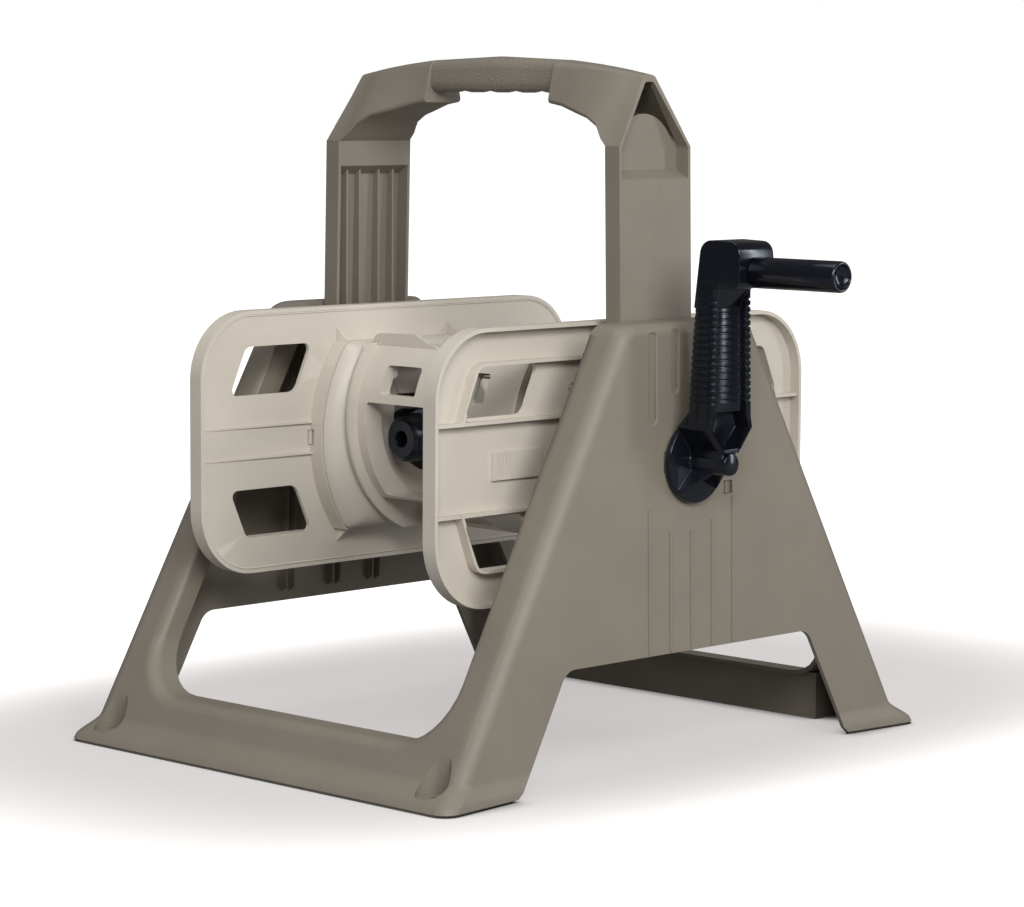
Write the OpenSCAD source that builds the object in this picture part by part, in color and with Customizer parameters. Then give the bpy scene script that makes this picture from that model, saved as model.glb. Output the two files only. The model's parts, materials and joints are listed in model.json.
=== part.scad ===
// Portable garden hose reel: an A-frame base with a carry handle, and an oblong reel turned by a crank.
// The origin is on the floor at the centre of the base. +X points along the reel's axis to the crank,
// -Y is the front and +Z is up. All sizes are in millimetres.

/* [Base] */
// Width of the base across its toes, along the reel's axis
base_width = 420; // [404:1:436]
// Depth of the base across its toes, front to back
base_depth = 542; // [505:1:575]
// Height of the rounded tops of the two side panels
panel_top = 336; // [325:1:340]
// Depth of a side panel at its top, front to back
panel_top_depth = 144; // [130:1:160]
// How much narrower the base is at the panel tops than at its straight foot
panel_lean = 12; // [4:1:16]
// Wall of the base moulding
base_wall = 3.5; // [2.5:0.1:4.5]
// How far the toes flare out past the straight faces
toe_flare = 12.5; // [6:0.5:16]
// Radius of the base's outer corners, seen from above
corner_r = 13; // [8:1:20]
// Half of the clear width between the two legs of an end frame
leg_inner_x = 165; // [163:0.5:172]
// Depth of the return flange round the front and rear openings
return_depth = 24; // [12:1:32]
// Height of the front and rear foot bars
bar_height = 39; // [30:1:50]
// Radius of the lower corners of the front and rear openings
opening_corner_r = 44; // [20:1:60]
// Height of the arch cut under each side panel
arch_height = 89; // [60:1:110]
// Length of the arch at the floor
arch_foot = 372; // [330:1:400]
// Length of the arch at its top
arch_top = 274; // [200:1:300]
// Pitch of the ribs inside each side panel
rib_pitch = 23.6; // [22:0.2:27]
// Thickness of the ribs inside each side panel
rib_wall = 2.6; // [1.6:0.1:3.5]

/* [Ground anchors] */
// Radius of the scooped pocket in each toe
scoop_r = 13; // [9:0.5:15]
// Height of the pocket's floor
scoop_floor = 9; // [6:0.5:12]
// Radius of the anchor hole in each pocket
anchor_hole_r = 2.6; // [2:0.1:4]
// Distance between the anchor holes along the reel's axis
anchor_spacing_x = 358; // [345:1:362]
// Distance of each anchor hole from the straight foot line, front or rear
anchor_inset = 8; // [6:0.5:12]

/* [Carry handle] */
// Height of the top of the grip
handle_top = 533; // [520:1:560]
// Thickness of the grip, top to bottom
grip_thickness = 28; // [22:0.5:32]
// Length of the textured grip
grip_length = 134; // [110:1:150]
// Height of the shoulders where the legs begin
shoulder_z = 466; // [458:1:475]
// Distance between the outer faces of the legs at the shoulders
handle_width = 319; // [315:1:322]
// How far each leg leans out between its shoulder and the panel top
leg_lean = 2.6; // [0:0.1:3]
// Width of each leg, front to back
leg_width = 80; // [70:1:86]
// Thickness of each leg along the reel's axis
leg_thick = 14.5; // [12:0.5:18]
// Height of the bottom of the legs, inside the panels
leg_foot_z = 272; // [266:1:280]
// Wall of the handle moulding
handle_wall = 2.8; // [2:0.1:3.5]
// Number of finger hollows under the grip
finger_count = 4; // [2:1:5]
// Pitch of the finger hollows
finger_pitch = 28; // [22:1:30]

/* [Reel] */
// Height of the reel's axis above the floor
axis_z = 232; // [228:0.5:236]
// Clear width for the hose between the two flanges
winding_width = 246; // [230:1:250]
// Length of a flange
flange_length = 412; // [380:1:420]
// Height of a flange
flange_height = 206; // [190:1:212]
// Corner radius of a flange
flange_corner_r = 52; // [35:1:70]
// Thickness of a flange's plate and walls
flange_wall = 3; // [2:0.1:4]
// Depth of a flange's rim along the axis
flange_rim = 12; // [8:0.5:14]
// Height of the flange windows
window_height = 38; // [25:1:42]
// Length of the flange windows
window_length = 69; // [50:1:74]
// Half width of the collar where a flange meets the drum
collar_half = 92; // [86:1:96]
// Half height of the collar where a flange meets the drum
collar_rise = 75; // [72:0.5:80]
// Radius of the drum's front and rear curves
drum_r = 87; // [80:1:92]
// Distance of the drum curves' centres from the reel's axis, front to back
drum_shift_y = 14.4; // [10:0.2:20]
// Distance of the drum curves' centres from the reel's axis, up and down
drum_shift_z = 14; // [8:0.5:16]
// Wall of the drum shells
drum_wall = 3; // [2:0.1:3.6]

/* [Bearings and crank] */
// Radius of the reel's journals in the bushings
journal_r = 16; // [14:0.5:17]
// Running clearance of a journal or a pin in its bore, on the radius
running_gap = 0.06; // [0.03:0.01:0.1]
// Wall of a bushing's sleeve
bushing_wall = 4; // [3:0.2:4.6]
// Radius of the crank's disc
disc_r = 31.5; // [28:0.5:33]
// Distance from the reel's axis to the crank grip's axis
crank_throw = 143.3; // [120:0.5:150]
// Radius of the crank grip
crank_grip_r = 11.5; // [10:0.5:14]
// Length of the crank grip
crank_grip_length = 79.5; // [60:0.5:95]
// Width of the crank arm
crank_arm_width = 47; // [40:1:50]
// Number of grip ribs in the crank arm's trough
trough_ribs = 15; // [8:1:18]
// Pitch of the ribs in the crank arm's trough
trough_pitch = 5; // [4:0.2:5.4]

/* [Water way] */
// Outside radius of the inlet tube where it turns in the outlet tube
tube_r = 11; // [10:0.2:11.4]
// Radius of the water way through the tubes
water_r = 6.5; // [5:0.1:7]
// Radius of the hose threads
thread_r = 13.2; // [12.8:0.1:13.6]
// Length of the inlet spigot past its plate
spigot_length = 42; // [34:1:60]
// Radius of the lock nut on the outlet tube
lock_nut_r = 18.5; // [17.5:0.5:21]

/* [Hidden] */

taupe = [0.49, 0.46, 0.41];
tan_plastic = [0.71, 0.68, 0.62];
black_plastic = [0.035, 0.04, 0.055];
steel = [0.62, 0.63, 0.65];
rubber = [0.05, 0.05, 0.05];

eps = 0.01;
seat_gap = 0.3;
wall_bite = 1.2;
through = 400;

// Base, worked out
foot_x = base_width / 2 - toe_side_flare();
foot_y = base_depth / 2 - toe_flare;
top_x = foot_x - panel_lean / 2;
top_y = panel_top_depth / 2;
toe_lip = 3;
flare_top = 20;
arch_flare = 7;
arch_flare_z = 5;
top_round = 9;
bar_inner_y = foot_y - 38;
slot_r = 4;
slot_depth = 2.2;
slot_pad = 2;
line_rise = 0.5;
low_rib_depth = 6;
low_rib_half = 4.4;
low_rib_z = 97;

function toe_side_flare() = toe_flare * 0.56;
function flank_x(z) = foot_x + (top_x - foot_x) * z / panel_top;
function flank_y(z) = foot_y + (top_y - foot_y) * z / panel_top;
function flare(z) = (1 + cos(180 * min(1, max(0, (z - toe_lip) / (flare_top - toe_lip))))) / 2;
panel_x = flank_x(axis_z);
panel_inner_x = panel_x - base_wall;

// Handle, worked out
leg_top_x = handle_width / 2;
leg_foot_x = leg_top_x + leg_lean;
leg_half = leg_width / 2;
grip_half = grip_length / 2;
apex_x = leg_top_x - 7;
apex_z = handle_top - 14;
ledge_z = shoulder_z - 24.5;
ledge_rise = 7;
plate_x = leg_top_x - leg_thick + handle_wall;
plate_top = apex_z - 29;
leg_screw_y = rib_pitch;
leg_screw_z = (leg_foot_z + panel_top) / 2 - 2;
leg_boss_r = 5.5;
leg_boss_depth = 6.5;
grip_low = handle_top - grip_thickness;
finger_r = 35.5;
finger_depth = 2.5;
shoulder_reach = leg_top_x - leg_thick - grip_half;
// Stations from the grip's end to the leg: share of the reach, half width at the top, drop below the
// grip's underside, how much narrower than the leg the underside is, and the two corner radii
shoulder_stations = [[0.18, 12, 10, 17, 9, 3], [0.42, 11, 15, 12, 8, 3], [0.65, 9, 19, 7, 7, 2],
                     [0.81, 8, 25, 4, 6, 2], [0.91, 7, 34, 1.5, 6, 1]];
// Stations of the open pocket inside a shoulder, in the same order
pocket_stations = [[0.47, 8, 12, 16, 4, 1], [0.68, 7, 17, 9, 4, 1], [0.83, 6, 25, 6, 4, 1]];

// Reel, worked out
flange_in = winding_width / 2;
flange_out = flange_in + flange_rim;
plate_out = flange_in + flange_wall;
flange_half_y = flange_length / 2;
flange_half_z = flange_height / 2;
collar_depth = 14;
collar_r = (pow(collar_rise, 2) + pow(collar_half - 66, 2)) / (2 * (collar_half - 66));
shell_end = flange_in - collar_depth - seat_gap;
band_in = shell_end - 17;
band_rise = 9;
drum_rise = drum_r - drum_shift_z;
window_low = 37;
window_y = 107;
window_lean = 17;
frame_wall = 2.6;
rib_depth = 7;
hub_ring_r = 52;
lip_rise = 0.8;
ridge_low = 0.4;
ridge_high = 3;
fin_y = 62;
opening_x0 = -79.5;
opening_x1 = 18;
latch_y0 = 88;
latch_y1 = 140;
latch_half = 10.4;
hook_slot_y = latch_y0 + 4;
hook_slot_half = 2.2;
shell_screw_angles = [150, 222];
shell_boss_r = 5;
shell_boss_end = 60;
shell_seam = 1;
seam_flat = 0.5;
lip_x = -91;
lip_depth = 40;
shelf = 2.5;
slit_depth = 10;
bulkhead = 2.5;
opening_z = [-46, 29.5];
slit_z = [36, 59];
slits_x = [[-66, -27], [28, 48]];
shell_screw_r = drum_r - drum_wall - 5;

// Bearings and crank, worked out
hub_r = journal_r + 6;
bushing_r = journal_r + running_gap + bushing_wall;
bore_gap = 0.2;
bushing_plate_r = bushing_r + 7;
plate_thick = 3;
hub_end = panel_inner_x - plate_thick - bore_gap - 3;
sleeve_in = hub_end + 0.5;
sleeve_out = panel_x + 1;
disc_in = sleeve_out + 0.5;
disc_thick = 5;
disc_out = disc_in + disc_thick;
arm_in = disc_out + 10.5;
arm_out = arm_in + 23;
block_out = arm_out + 22;
boss_r = 8.5;
web_half = 2.5;
key_half = 10;
key_end = plate_out + 26;
key_start = flange_in - 4.7;
hub_in = key_start - 4;
pin_r = 4;
screw_r = 1.8;
screw_gap = 0.3;
bite = 0.2;
pilot = 0.1;
plate_in = panel_inner_x - plate_thick - bore_gap;
plate_face = panel_inner_x - bore_gap - seat_gap;
inlet_screw_places = [for (a = [90, 210, 330]) (bushing_r + 3.2) * [cos(a), sin(a)]];
trough_half = crank_arm_width / 2 - 9;
trough_depth = 10;
block_low = crank_throw - 12;
arm_top = crank_throw + 24;
trough_top = block_low - 4;
trough_low = trough_top - trough_ribs * trough_pitch - 20;
pin_start = arm_in + 3.3;
screw_end = key_start + 30;
grip_start = block_out + seat_gap;
grip_end = grip_start + crank_grip_length;
grip_recess = 10;
cap_in = grip_end - grip_recess + 0.4;
hook_y = [-29.4, 41.5];
hook_z = [0.6, -23];
hook_half = [7.4, 4.6];
hook_thick = 1;
hook_room = 0.5;
slot_half = [1.6, 5.5];
hook_end = panel_x - 1;

// Water way, worked out
spigot_plate_r = bushing_r + 6.3;
spigot_in = sleeve_out + seat_gap;
spigot_out = spigot_in + 4;
socket_r = tube_r + running_gap;
outlet_r = 15;
outlet_end = plate_out + 38;
tube_end = plate_out + 4;
lock_x1 = flange_in - 13;
lock_x0 = lock_x1 - 25;
collar_x = lock_x1 + 5;
washer_thick = 1.2;
thread_length = 16;
hex_length = 8;
elbow_x = lock_x0 - 24;
outlet_reach = 50;
seal_r = 1.15;
seal_centre_r = 9.6;

// Geometry helpers

// Unit vector of v
function unit(v) = v / norm(v);

// Points of the arc that rounds the corner p1 between p0 and p2
function corner(p0, p1, p2, r, n) =
    let (u = unit(p0 - p1), v = unit(p2 - p1), half = acos(u * v) / 2,
         d = r / tan(half), c = p1 + unit(u + v) * r / sin(half),
         q0 = p1 + u * d - c, q1 = p1 + v * d - c,
         a0 = atan2(q0[1], q0[0]), turn = (atan2(q1[1], q1[0]) - a0 + 900) % 360 - 180)
    [for (i = [0:n]) c + r * [cos(a0 + turn * i / n), sin(a0 + turn * i / n)]];

// A polygon's points with each corner rounded by its own radius
function rounded(pts, r, n = 5) =
    let (m = len(pts))
    [for (i = [0:m - 1]) each corner(pts[(i + m - 1) % m], pts[i], pts[(i + 1) % m], r[i], n)];

// Points of a rectangle of half sizes hx and hy with rounded corners
function plan(hx, hy, r, n = 5) =
    rounded([[hx, -hy], [hx, hy], [-hx, hy], [-hx, -hy]], [r, r, r, r], n);

// Points on an arc round c from angle a0 to a1
function arc(c, r, a0, a1, n) =
    [for (i = [0:n]) c + r * [cos(a0 + (a1 - a0) * i / n), sin(a0 + (a1 - a0) * i / n)]];

// Draws a 2D shape of Y and Z along X from x0 to x1
module along_x(x0, x1) {
    translate([x0, 0, 0]) rotate([90, 0, 90]) linear_extrude(x1 - x0) children();
}

// Draws a 2D shape of X and Z along Y from y0 to y1
module along_y(y0, y1) {
    translate([0, y1, 0]) rotate([90, 0, 0]) linear_extrude(y1 - y0) children();
}

// A box from its lowest corner to its highest corner
module block(low, high) {
    translate(low) cube(high - low);
}

// A cylinder along X at the height z and the place y
module rod_x(x0, x1, r, y = 0, z = 0) {
    translate([x0, y, z]) rotate([0, 90, 0]) cylinder(h = x1 - x0, r = r, $fn = 64);
}

// A closed solid through rings of equal numbers of points, each counterclockwise seen from the last
module loft(rings) {
    n = len(rings[0]);
    m = len(rings);
    polyhedron(points = [for (ring = rings) each ring],
               faces = concat([[for (i = [0:n - 1]) i]],
                              [for (k = [0:m - 2], i = [0:n - 1])
                                  each [[k * n + i, (k + 1) * n + i, k * n + (i + 1) % n],
                                        [k * n + (i + 1) % n, (k + 1) * n + i, (k + 1) * n + (i + 1) % n]]],
                              [[for (i = [n - 1:-1:0]) (m - 1) * n + i]]));
}

module on_both_sides() {
    children();
    mirror([1, 0, 0]) children();
}

module front_and_rear() {
    children();
    mirror([0, 1, 0]) children();
}

module at_axis() {
    translate([0, 0, axis_z]) children();
}

// Base

// One ring of the base's outline at height z, drawn in by inset
function base_ring(z, inset, r) =
    [for (p = plan(flank_x(z) + toe_side_flare() * flare(z) - inset,
                   flank_y(z) + toe_flare * flare(z) - inset, r)) [p[0], p[1], z]];

// The base's outer shape as one solid, drawn in by inset on its sides
module base_block(inset = 0) {
    low = [0, for (i = [0:6]) toe_lip + (flare_top - toe_lip) * i / 6];
    high = [for (a = [0:15:75]) a];
    r = corner_r - inset;
    loft(concat([for (z = low) base_ring(z, inset, r)],
                [for (a = high) base_ring(panel_top - top_round * (1 - sin(a)),
                                          inset + top_round * (1 - cos(a)), r)],
                [base_ring(panel_top, inset + top_round, r)]));
}

module base_hollow() {
    low = [for (i = [0:6]) toe_lip + (flare_top - toe_lip) * i / 6];
    inner_r = corner_r - base_wall;
    below = [for (p = base_ring(0, base_wall, inner_r)) [p[0], p[1], -1]];
    loft(concat([below], [for (z = low) base_ring(z, base_wall, inner_r)],
                [base_ring(panel_top - top_round, base_wall, inner_r),
                 base_ring(panel_top - base_wall, base_wall + top_round * 0.6, inner_r)]));
}

// The front and rear openings, seen along Y, drawn in by grow
module frame_opening(grow = 0) {
    x = leg_inner_x + grow;
    z = bar_height - grow;
    polygon(rounded([[-x, z], [x, z], [x, panel_top + 20], [-x, panel_top + 20]],
                    [opening_corner_r + grow, opening_corner_r + grow, 1, 1], 8));
}

// The band just inside the front face, seen along X
module return_band() {
    round_z = panel_top - top_round;
    polygon([[-flank_y(0) + wall_bite, 0], [-flank_y(0) + return_depth, 0],
             [-top_y + return_depth, panel_top - wall_bite], [-top_y + top_round, panel_top - wall_bite],
             [-flank_y(round_z) + wall_bite, round_z]]);
}

// Flange that turns inwards all round a front or rear opening
module return_flange() {
    intersection() {
        along_y(-through, 0) difference() {
            frame_opening(base_wall);
            frame_opening();
        }
        along_x(-through, through) return_band();
    }
}

// Inner wall that closes a foot bar on the side of the reel, and the bar's two end webs
module bar_wall() {
    end_x = leg_inner_x - 22;
    z1 = bar_height - wall_bite;
    block([-end_x, -bar_inner_y - base_wall, 0], [end_x, -bar_inner_y, z1]);
    for (x = [-end_x, end_x - base_wall])
        along_x(x, x + base_wall)
            polygon([[-flank_y(0) + wall_bite, 0], [-bar_inner_y, 0], [-bar_inner_y, z1],
                     [-flank_y(z1) + wall_bite, z1]]);
}

module panel_arch() {
    along_x(-through, through)
        polygon(rounded([[-arch_foot / 2 - arch_flare - 3, -1], [arch_foot / 2 + arch_flare + 3, -1],
                         [arch_foot / 2 - 2.5, arch_flare_z], [arch_top / 2, arch_height],
                         [-arch_top / 2, arch_height], [2.5 - arch_foot / 2, arch_flare_z]],
                        [0.1, 0.1, 8, 15, 15, 8], 8));
}

// A rib of X and Z from x_in to the inside of the panel's wall, from z0 up to the roof
module rib_outline(x_in, z0) {
    round_z = panel_top - top_round;
    polygon([[x_in, z0], [flank_x(z0) - wall_bite, z0], [flank_x(round_z) - wall_bite, round_z],
             [top_x - top_round, panel_top - wall_bite], [x_in, panel_top - wall_bite]]);
}

// Ribs inside a side panel: they carry the handle leg above and clear the bushing below
module panel_ribs() {
    seat_x = leg_foot_x + seat_gap;
    clear_r = bushing_plate_r + 17;
    for (i = [-2:2]) translate([0, i * rib_pitch, 0])
        along_y(-rib_wall / 2, rib_wall / 2) rib_outline(seat_x, axis_z + clear_r + 3);
    // Low pairs of ribs under the bushing
    for (y = [-50, 2, 47], side = [-1, 1]) translate([0, y + side * low_rib_half, 0])
        along_y(-rib_wall / 3, rib_wall / 3)
            polygon([[flank_x(low_rib_z) - base_wall - low_rib_depth, low_rib_z + 4],
                     [flank_x(low_rib_z) - wall_bite, low_rib_z - 2], [panel_x - wall_bite, axis_z - clear_r - 1],
                     [panel_inner_x - low_rib_depth, axis_z - clear_r - 1]]);
    for (s = panel_slots()) slot_shape(s, -slot_depth - base_wall, -slot_depth - wall_bite / 2, slot_pad);
    for (y = [-leg_screw_y, leg_screw_y])
        rod_x(seat_x, top_x - wall_bite, 5, y, leg_screw_z);
    // Collar that stiffens the panel round the bushing's plate
    at_axis() difference() {
        rod_x(panel_inner_x - 6, panel_x - wall_bite, clear_r + base_wall);
        rod_x(panel_inner_x - 60, panel_x, clear_r);
    }
}

// Boss under an anchor pocket, and the walls of the pocket
module anchor_boss() {
    floor_wall = 3;
    intersection() {
        translate([anchor_spacing_x / 2, -foot_y + anchor_inset, 0]) {
            cylinder(h = scoop_floor, r = anchor_hole_r + 4, $fn = 48);
            difference() {
                cylinder(h = 44, r = scoop_r + 2.5, $fn = 64);
                translate([0, 0, scoop_floor]) cylinder(h = 60, r = scoop_r, $fn = 64);
                translate([0, 0, -1]) cylinder(h = scoop_floor - floor_wall + 1, r = scoop_r, $fn = 64);
            }
        }
        base_block(1);
    }
}

module anchor_cut() {
    translate([anchor_spacing_x / 2, -foot_y + anchor_inset, 0]) {
        translate([0, 0, scoop_floor]) cylinder(h = 60, r = scoop_r, $fn = 64);
        translate([0, 0, -1]) cylinder(h = scoop_floor + 2, r = anchor_hole_r, $fn = 32);
    }
}

// A strip of X and Z along the panel's outer face, from depth inside it to rise outside it
module face_strip(z0, z1, depth, rise) {
    polygon([[flank_x(z0) - depth, z0], [flank_x(z0) + rise, z0],
             [flank_x(z1) + rise, z1], [flank_x(z1) - depth, z1]]);
}

// Five fine raised lines up a panel's outer face
module panel_lines() {
    tops = [199, 181, 179, 186, 202];
    for (i = [0:4])
        translate([0, (i - 2) * rib_pitch, 0]) along_y(-0.7, 0.7)
            face_strip(arch_height + 1, tops[i], 1, line_rise);
}

// Middle and the two heights of each recessed slot of a panel
function panel_slots() = [for (side = [-1, 1], s = [[0.75, 284, 4], [1.8, 262, 6]])
    [side * rib_pitch * s[0], s[1], panel_top - s[2]]];

// The shape of a recessed slot between two depths from the panel's face, grown by pad
module slot_shape(s, in_x, out_x, pad = 0) {
    x = flank_x((s[1] + s[2]) / 2);
    r = slot_r + pad;
    y = s[0];
    z0 = s[1] - pad;
    along_x(x + in_x, x + out_x)
        polygon(rounded([[y - r, z0], [y + r, z0], [y + r, s[2]], [y - r, s[2]]],
                        [r - 0.1, r - 0.1, slot_r - 0.1, slot_r - 0.1], 5));
}

// Slots of the panel that the bushing's snap hooks sit in, and the room for the hooks' arms
module hook_slots() {
    for (i = [0, 1]) {
        z0 = axis_z + hook_z[i] - hook_half[i] - hook_room;
        z1 = axis_z + hook_z[i] + hook_half[i] + hook_room;
        block([panel_inner_x - 1, hook_y[i] - slot_half[i], z0], [panel_x + 8, hook_y[i] + slot_half[i], z1]);
        block([panel_inner_x - 8, min(0, hook_y[i]) - hook_thick - hook_room, z0],
              [plate_face + pilot, max(0, hook_y[i]) + hook_thick + hook_room, z1]);
    }
}

module base_frame() {
    color(taupe) difference() {
        union() {
            difference() {
                base_block();
                base_hollow();
                along_y(-through, through) frame_opening();
            }
            front_and_rear() {
                return_flange();
                bar_wall();
                on_both_sides() anchor_boss();
            }
            on_both_sides() {
                panel_ribs();
                panel_lines();
            }
        }
        panel_arch();
        front_and_rear() on_both_sides() anchor_cut();
        at_axis() rod_x(-through, through, bushing_r + bore_gap);
        on_both_sides() {
            for (s = panel_slots()) slot_shape(s, -slot_depth, 6);
            hook_slots();
            for (y = [-leg_screw_y, leg_screw_y])
                rod_x(leg_foot_x - 5, leg_foot_x + 18, screw_r - pilot, y, leg_screw_z);
        }
        for (p = inlet_screw_places)
            at_axis() rod_x(-panel_x - 3, -panel_inner_x + 3, screw_r + screw_gap, p[0], p[1]);
    }
}

// Carry handle

// Section of the handle's arch at x: a rounded trapezoid of Y and Z
function arch_section(x, z_top, half_top, z_low, half_low, r_top, r_low) =
    [for (p = rounded([[half_low, z_low], [half_top, z_top], [-half_top, z_top], [-half_low, z_low]],
                      [r_low, r_top, r_top, r_low], 4)) [x, p[0], p[1]]];

// Height of the arch's top above the point x on the axis
function arch_top_z(x) = handle_top - (handle_top - apex_z) * pow(abs(x) / apex_x, 2);

// Section of the handle at one of its stations, with its top lowered by drop
function station_section(s, drop) =
    let (x = grip_half + s[0] * shoulder_reach)
    arch_section(x, arch_top_z(x) - drop, s[1], grip_low - s[2], leg_half - s[3], s[4], s[5]);

module half_arch() {
    end_x = leg_top_x - leg_thick;
    edge = 0.5;
    loft(concat([arch_section(-eps, arch_top_z(0), 12, grip_low, 14, 9, 8),
                 arch_section(grip_half, arch_top_z(grip_half), 12, grip_low, 15, 9, 8),
                 arch_section(grip_half + edge, arch_top_z(grip_half), 13, grip_low - 8, 21, 9, 3)],
                [for (s = shoulder_stations) station_section(s, 0)],
                [arch_section(end_x, arch_top_z(end_x), 6.5, shoulder_z - edge, leg_half, 5, edge),
                 arch_section(leg_top_x, arch_top_z(leg_top_x), 6, shoulder_z - edge, leg_half, 5, edge)]));
}

module handle_leg() {
    ring = function (z, x) [[x - leg_thick, -leg_half, z], [x, -leg_half, z],
                            [x, leg_half, z], [x - leg_thick, leg_half, z]];
    loft([ring(leg_foot_z, leg_foot_x), ring(panel_top, leg_foot_x), ring(shoulder_z, leg_top_x)]);
}

// Hollow of a leg, open towards the reel
module leg_channel() {
    w = handle_wall;
    past = 5;
    climb = ledge_rise * (leg_thick + past - w) / (leg_thick - w);
    ring = function (z, x, rise) [[x - leg_thick - past, -leg_half + w, z + rise], [x - w, -leg_half + w, z],
                                  [x - w, leg_half - w, z], [x - leg_thick - past, leg_half - w, z + rise]];
    loft([ring(leg_foot_z - 5, leg_foot_x, 0), ring(panel_top, leg_foot_x, 0), ring(ledge_z - w, leg_top_x, climb)]);
}

// A rib along the bottom of a leg's hollow
module leg_rib(y) {
    in_x = leg_foot_x - leg_thick + 3.5;
    foot_out = leg_foot_x - handle_wall + bite;
    along_y(y - 1, y + 1)
        polygon([[in_x, leg_foot_z], [foot_out, leg_foot_z], [foot_out, panel_top],
                 [leg_top_x - handle_wall + bite, ledge_z - 1], [in_x, ledge_z + 2]]);
}

// Plate with a rounded top that closes a leg above its ledge, seen along X
module plate_outline() {
    polygon(concat([[-leg_half, ledge_z], [leg_half, ledge_z]],
                   [for (a = [0:7.5:180]) [(leg_half - handle_wall) * cos(a),
                                           ledge_z + 5 + (plate_top - ledge_z - 5) * sin(a)]]));
}

// Hollow of a shoulder, open outwards over the ledge
module shoulder_pocket() {
    w = handle_wall;
    half = leg_half - w;
    gable_z = arch_top_z(leg_top_x) - w - 1;
    difference() {
        union() {
            along_x(plate_x, leg_top_x + 5)
                polygon(rounded([[-half, ledge_z], [half, ledge_z], [half, shoulder_z - 1], [4.5, gable_z],
                                 [-4.5, gable_z], [-half, shoulder_z - 1]], [0.5, 0.5, 6, 4, 4, 6]));
            loft(concat([for (s = pocket_stations) station_section(s, w)],
                        [arch_section(plate_x + 1, gable_z, 4.5, shoulder_z + w, half - 1, 4, 1)]));
        }
        along_x(plate_x - w, plate_x) plate_outline();
        along_y(-leg_half, leg_half)
            polygon([[plate_x - 1, ledge_z - 1], [leg_top_x + 6, ledge_z - 1], [leg_top_x, ledge_z],
                     [plate_x - 1, ledge_z + ledge_rise]]);
    }
}

// Slanted cut that opens a shoulder outwards
module shoulder_cut() {
    along_y(-through, through)
        polygon([[apex_x, apex_z], [leg_top_x, shoulder_z], [leg_top_x + 20, shoulder_z],
                 [leg_top_x + 20, handle_top + 10], [apex_x, handle_top + 10]]);
}

module carry_handle() {
    color(taupe) difference() {
        union() {
            on_both_sides() difference() {
                union() {
                    half_arch();
                    handle_leg();
                }
                leg_channel();
                shoulder_pocket();
                shoulder_cut();
            }
            on_both_sides() {
                for (y = [-25, -11, 10, 26]) leg_rib(y);
                for (y = [-leg_screw_y, leg_screw_y])
                    rod_x(leg_foot_x - leg_boss_depth, leg_foot_x - 1, leg_boss_r, y, leg_screw_z);
            }
        }
        for (i = [0:finger_count - 1])
            translate([(i - (finger_count - 1) / 2) * finger_pitch, 0, grip_low + finger_depth - finger_r])
                rotate([90, 0, 0]) cylinder(h = 60, r = finger_r, center = true, $fn = 96);
        on_both_sides() for (y = [-leg_screw_y, leg_screw_y]) {
            rod_x(leg_foot_x - 20, leg_foot_x + 2, screw_r + screw_gap, y, leg_screw_z);
            rod_x(leg_foot_x - 30, leg_foot_x - leg_boss_depth, leg_boss_r, y, leg_screw_z);
        }
    }
}

module handle_screws() {
    color(steel) on_both_sides() for (y = [-leg_screw_y, leg_screw_y]) {
        rod_x(leg_foot_x - leg_boss_depth - 3, leg_foot_x - leg_boss_depth - eps, 4, y, leg_screw_z);
        rod_x(leg_foot_x - leg_boss_depth - 1, leg_foot_x + 17, screw_r - bite, y, leg_screw_z);
    }
}

// Bearings

module bushing() {
    difference() {
        union() {
            rod_x(sleeve_in, sleeve_out, bushing_r);
            rod_x(plate_in, plate_face, bushing_plate_r);
            for (i = [0, 1]) {
                block([plate_in, min(0, hook_y[i]) - hook_thick, hook_z[i] - hook_half[i]],
                      [plate_face, max(0, hook_y[i]) + hook_thick, hook_z[i] + hook_half[i]]);
                block([plate_in, hook_y[i] - hook_thick, hook_z[i] - hook_half[i]],
                      [hook_end, hook_y[i] + hook_thick, hook_z[i] + hook_half[i]]);
            }
        }
        rod_x(sleeve_in - 10, sleeve_out + 10, journal_r + running_gap);
    }
}

module crank_side_bushing() {
    color(tan_plastic) at_axis() bushing();
}

module inlet_side_bushing() {
    color(tan_plastic) at_axis() difference() {
        mirror([1, 0, 0]) bushing();
        for (p = inlet_screw_places) rod_x(-panel_x, -plate_in + 1, screw_r - pilot, p[0], p[1]);
    }
}

// Reel

// Points of the collar's outline: two arcs joined by flats
function collar_points(inset) =
    let (r = collar_r - inset, c = collar_half - collar_r, rise = collar_rise - inset,
         a = asin(rise / r))
    concat([for (p = arc([-c, 0], r, 180 - a, 180 + a, 24)) p],
           [for (p = arc([c, 0], r, -a, a, 24)) p]);

// One of a flange's four slanted windows
module window(side, up) {
    end_y = window_y + window_length;
    z0 = window_low;
    z1 = window_low + window_height;
    pts = [[end_y, z0], [window_y, z0], [window_y - window_lean, z1], [end_y - window_lean, z1]];
    polygon([for (p = rounded(pts, [5, 10, 5, 8], 6)) [p[0] * side, p[1] * up]]);
}

// Outline of the wall round a pair of windows, drawn in by inset
module pair_outline(up, inset) {
    y0 = window_y + window_length + frame_wall - inset;
    z0 = window_low - 4.8;
    z1 = window_low + window_height + frame_wall - inset;
    pts = [[-y0, z0], [y0, z0], [y0 - window_lean, z1], [window_lean - y0, z1]];
    polygon([for (p = rounded(pts, [0.1, 0.1, 14 - inset, 14 - inset], 8)) [p[0], p[1] * up]]);
}

// Wall that runs round both windows of a pair on the flange's outer side
module pair_wall(up) {
    difference() {
        pair_outline(up, 0);
        pair_outline(up, frame_wall);
    }
}

// Outline of a flange, drawn in by inset
module flange_outline(inset = 0) {
    polygon(plan(flange_half_y - inset, flange_half_z - inset, flange_corner_r - inset, 12));
}

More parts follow.
